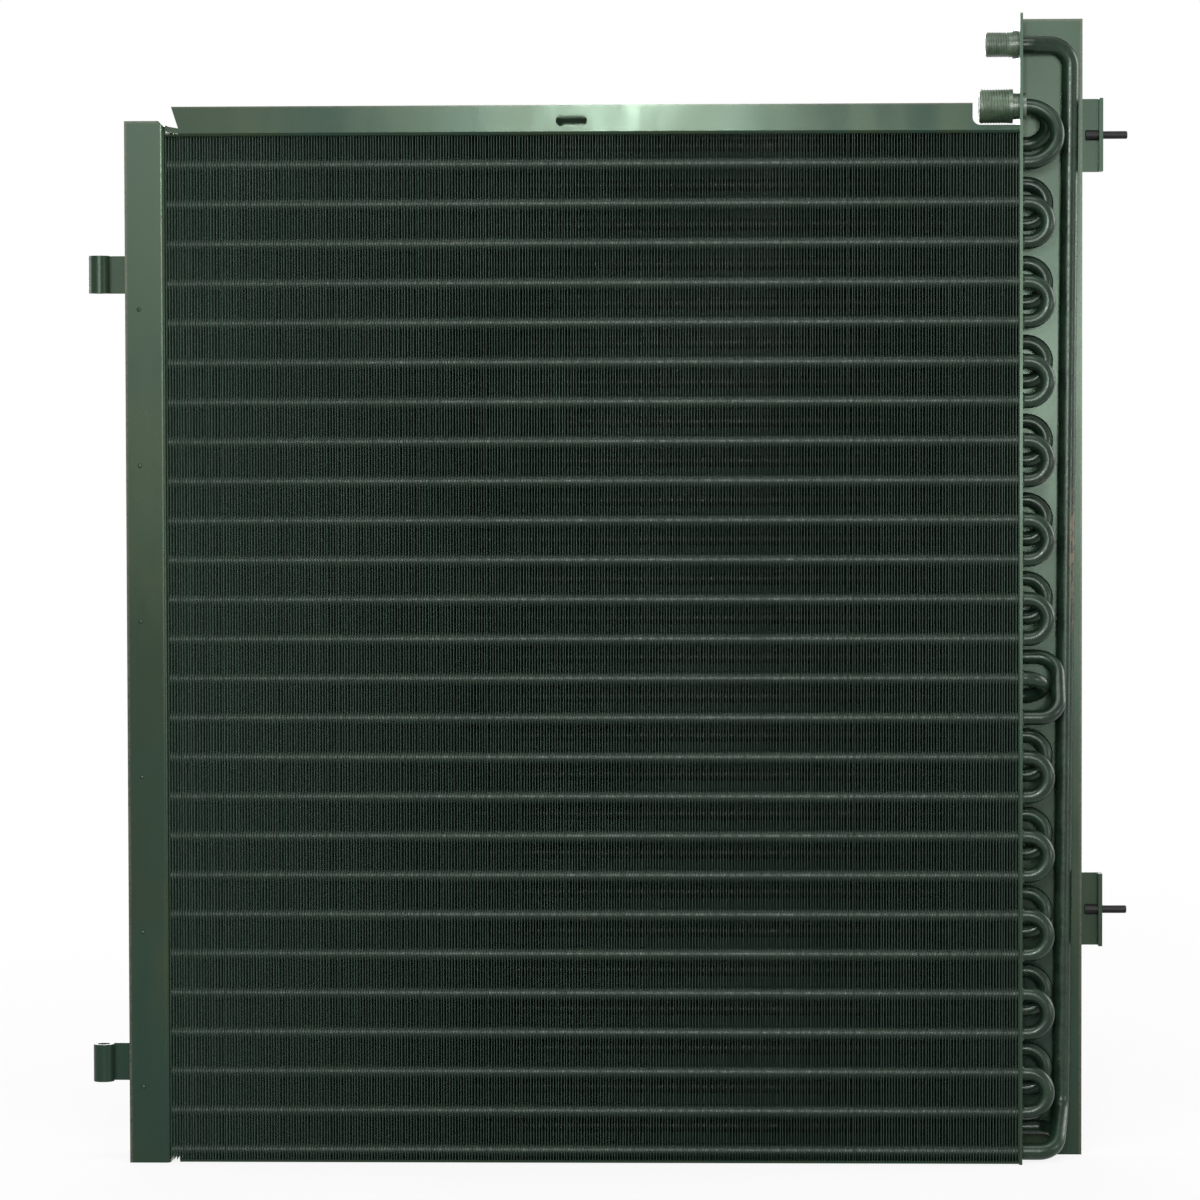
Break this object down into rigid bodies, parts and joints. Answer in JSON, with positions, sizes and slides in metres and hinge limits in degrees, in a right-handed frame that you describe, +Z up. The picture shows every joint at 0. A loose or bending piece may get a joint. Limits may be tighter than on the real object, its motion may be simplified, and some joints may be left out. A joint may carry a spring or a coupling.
{
  "type": "air conditioning condenser coil",
  "caption": "Green painted tube-and-fin condenser coil with end plates, staggered return bends, hose trough, threaded inlet and outlet, hinge eyes and side studs.",
  "frame": {"origin": "middle of the whole part's footprint, on the surface that the two end plates stand on", "axes": "+X along the tubes towards the return bends and studs, +Y from the front face to the back, +Z up"},
  "size_m": [0.6666, 0.0572, 0.736],
  "materials": {
    "painted_plate": "semi-gloss dark green paint on sheet steel",
    "painted_tube": "semi-gloss dark green paint on copper tube",
    "painted_fitting": "semi-gloss dark green paint on turned fittings",
    "painted_fins": "thin dark green coat on aluminium fins"
  },
  "bodies": {
    "root": {"left_end_plate": "painted_plate", "right_end_plate": "painted_plate", "top_plate": "painted_plate", "bottom_plate": "painted_plate", "upper_hinge_strap": "painted_plate", "lower_hinge_strap": "painted_plate", "upper_stud_bracket": "painted_plate", "lower_stud_bracket": "painted_plate", "front_hairpins": "painted_tube", "rear_hairpins": "painted_tube", "front_return_bends": "painted_tube", "rear_return_bends": "painted_tube", "crossover_bend": "painted_tube", "jumper_bend": "painted_tube", "inlet_manifold": "painted_tube", "outlet_pipe": "painted_tube", "inlet_fitting": "painted_fitting", "outlet_fitting": "painted_fitting", "upper_stud": "painted_fitting", "lower_stud": "painted_fitting", "fin_pack": "painted_fins"}
  },
  "joints": []
}
